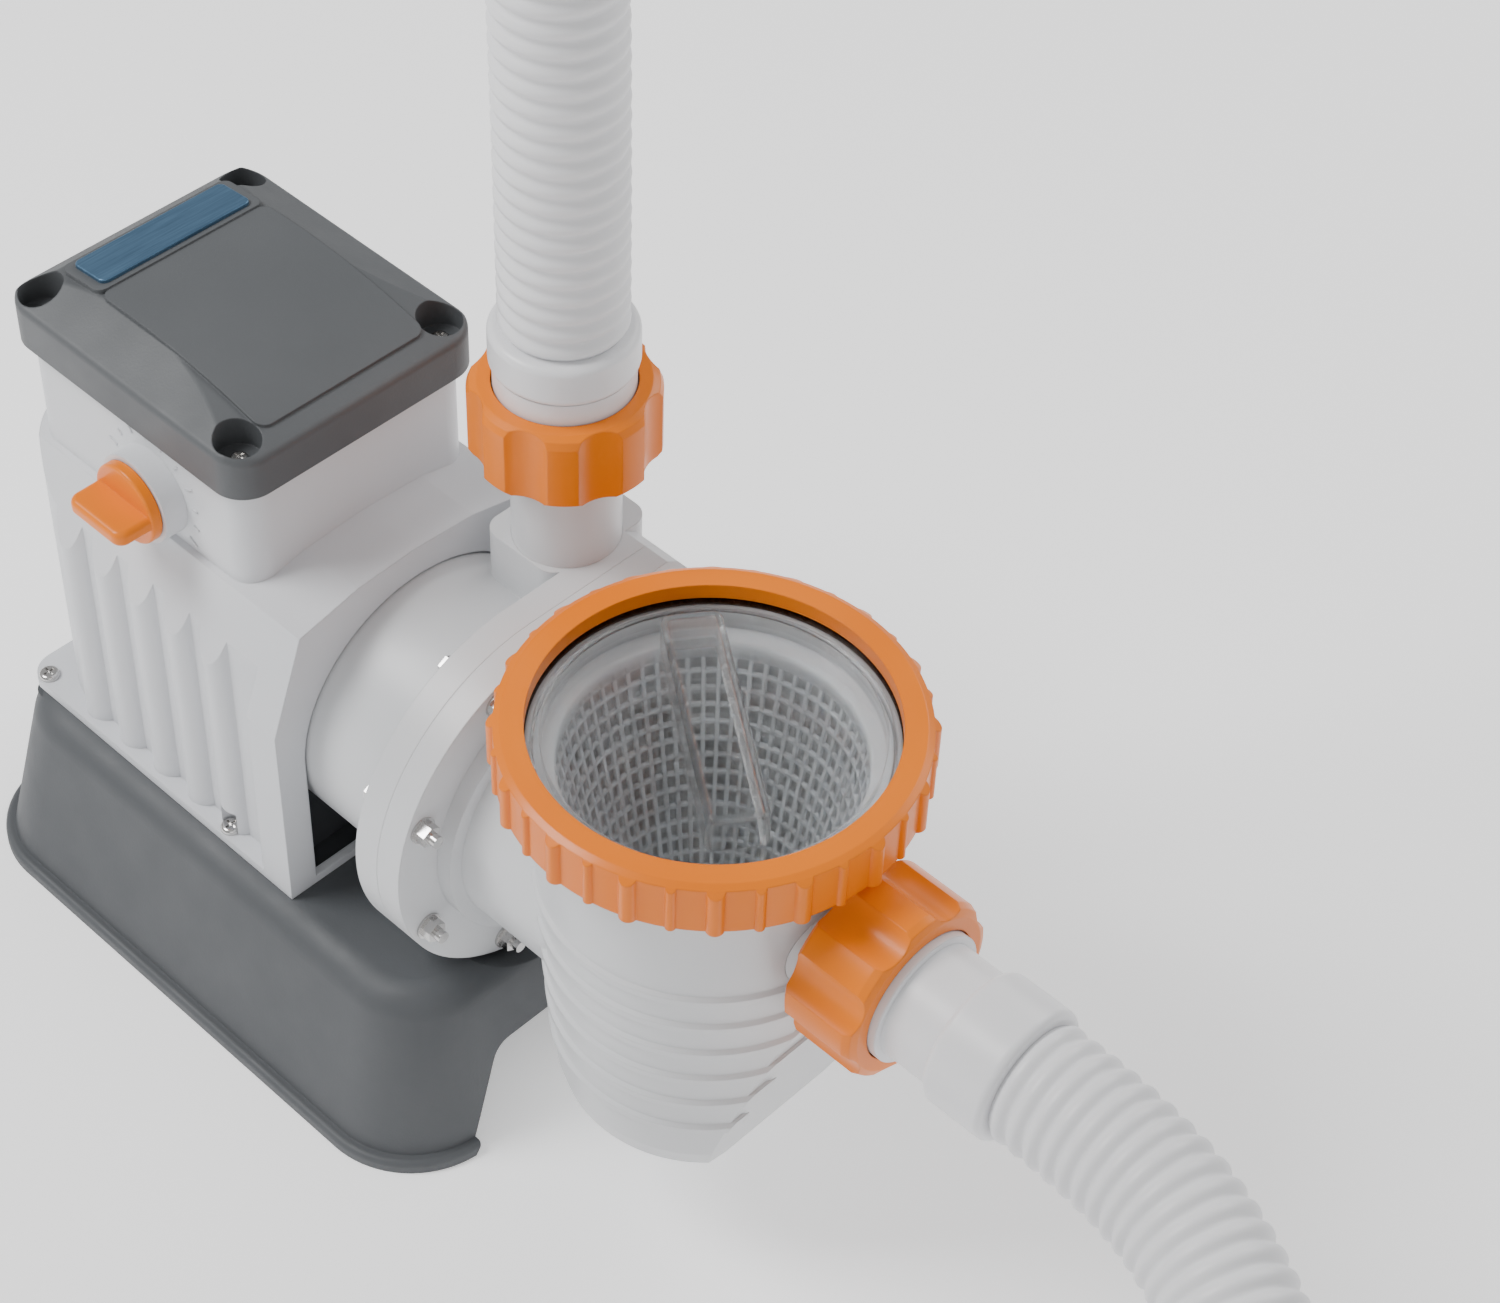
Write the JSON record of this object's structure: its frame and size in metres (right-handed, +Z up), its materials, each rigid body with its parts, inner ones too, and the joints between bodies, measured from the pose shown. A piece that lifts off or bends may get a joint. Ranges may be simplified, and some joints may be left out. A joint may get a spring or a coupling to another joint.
{
  "type": "pool pump",
  "caption": "Electric pool pump on a moulded base, with a strainer pot under a clear lid, a lock ring, a timer knob and union nuts for its two hoses.",
  "frame": {"origin": "bottom centre of the pump's box, without its hoses, on the floor", "axes": "+X from the motor towards the inlet port, +Z up, -Y the side with the timer knob"},
  "size_m": [0.7656, 0.6083, 0.6758],
  "materials": {
    "housing_plastic": "fine satin moulding grain",
    "body_plastic": "smooth satin",
    "base_plastic": "fine spark-eroded grain",
    "cover_plastic": "fine spark-eroded grain",
    "inner_plastic": "plain moulded",
    "orange_plastic": "glossy moulded",
    "clear_plastic": "clear moulded",
    "basket_plastic": "translucent moulded",
    "hose_plastic": "smooth, slightly waxy",
    "cuff_plastic": "smooth semi-gloss",
    "black_rubber": "plain",
    "black_nylon": "plain moulded",
    "white_nylon": "plain moulded",
    "impeller_plastic": "glass-filled",
    "badge_metal": "fine brushed, blank",
    "stainless": "bright rolled",
    "steel": "ground",
    "shield_aluminium": "die cast",
    "shell_paint": "semi-gloss black paint",
    "lamination_steel": "stacked laminations",
    "winding_copper": "varnished copper wire",
    "seal_ceramic": "white ceramic"
  },
  "bodies": {
    "root": {"badge_plate": "badge_metal", "base_tray": "base_plastic", "body_seal": "black_rubber", "box_cover": "cover_plastic", "cable_gland": "black_nylon", "capacitor": "white_nylon", "cover_gasket": "black_rubber", "cover_screws": "stainless", "discharge_gasket": "black_rubber", "discharge_port": "body_plastic", "flange_bolts": "stainless", "flange_nuts": "stainless", "flange_washers": "stainless", "foot_screws": "stainless", "front_bearing": "steel", "front_shield": "shield_aluminium", "gland_nut": "black_nylon", "inlet_gasket": "black_rubber", "inlet_port": "body_plastic", "intake_cuff": "cuff_plastic", "intake_end_cuff": "cuff_plastic", "intake_hose": "hose_plastic", "link_cuff": "cuff_plastic", "link_end_cuff": "cuff_plastic", "link_hose": "hose_plastic", "motor_housing": "housing_plastic", "motor_shell": "shell_paint", "mounting_plate": "inner_plastic", "rear_bearing": "steel", "rear_shield": "shield_aluminium", "seal_seat": "seal_ceramic", "stator_core": "lamination_steel", "stator_windings": "winding_copper", "strainer_body": "body_plastic", "suction_ring": "body_plastic", "terminal_block": "white_nylon", "timer_unit": "white_nylon", "volute_body": "body_plastic"},
    "rotor": {"motor_shaft": "steel", "rotor_core": "lamination_steel", "cooling_fan": "black_nylon", "impeller": "impeller_plastic", "seal_head": "black_rubber"},
    "timer": {"timer_knob": "orange_plastic", "knob_spindle": "steel"},
    "lid": {"lid_window": "clear_plastic", "lid_seal": "black_rubber"},
    "ring": {"lock_ring": "orange_plastic"},
    "basket": {"strainer_basket": "basket_plastic"},
    "discharge_union": {"discharge_nut": "orange_plastic"},
    "inlet_union": {"inlet_nut": "orange_plastic"}
  },
  "joints": [
    {"name": "rotor_spin", "type": "hinge", "parent": "root", "child": "rotor", "pos_m": [0, 0, 0.149], "axis": [1, 0, 0], "continuous": true},
    {"name": "timer_turn", "type": "hinge", "parent": "root", "child": "timer", "pos_m": [-0.1195, -0.06, 0.235], "axis": [0, -1, 0], "range_deg": [0, 270]},
    {"name": "lid_lift", "type": "slide", "parent": "root", "child": "lid", "axis": [0, 0, 1], "range_m": [0, 0.3]},
    {"name": "ring_turn", "type": "hinge", "parent": "lid", "child": "ring", "pos_m": [0.122, 0, 0.24], "axis": [0, 0, 1], "range_deg": [0, 360]},
    {"name": "basket_lift", "type": "slide", "parent": "root", "child": "basket", "axis": [0, 0, 1], "range_m": [0, 0.15]},
    {"name": "discharge_nut_turn", "type": "hinge", "parent": "root", "child": "discharge_union", "pos_m": [0, 0.045, 0.288], "axis": [0, 0, 1], "continuous": true},
    {"name": "inlet_nut_turn", "type": "hinge", "parent": "root", "child": "inlet_union", "pos_m": [0.208, 0, 0.188], "axis": [1, 0, 0], "continuous": true}
  ],
  "couplings": [
    {"joint": "basket_lift", "follows": "lid_lift", "ratio": 0.5}
  ]
}
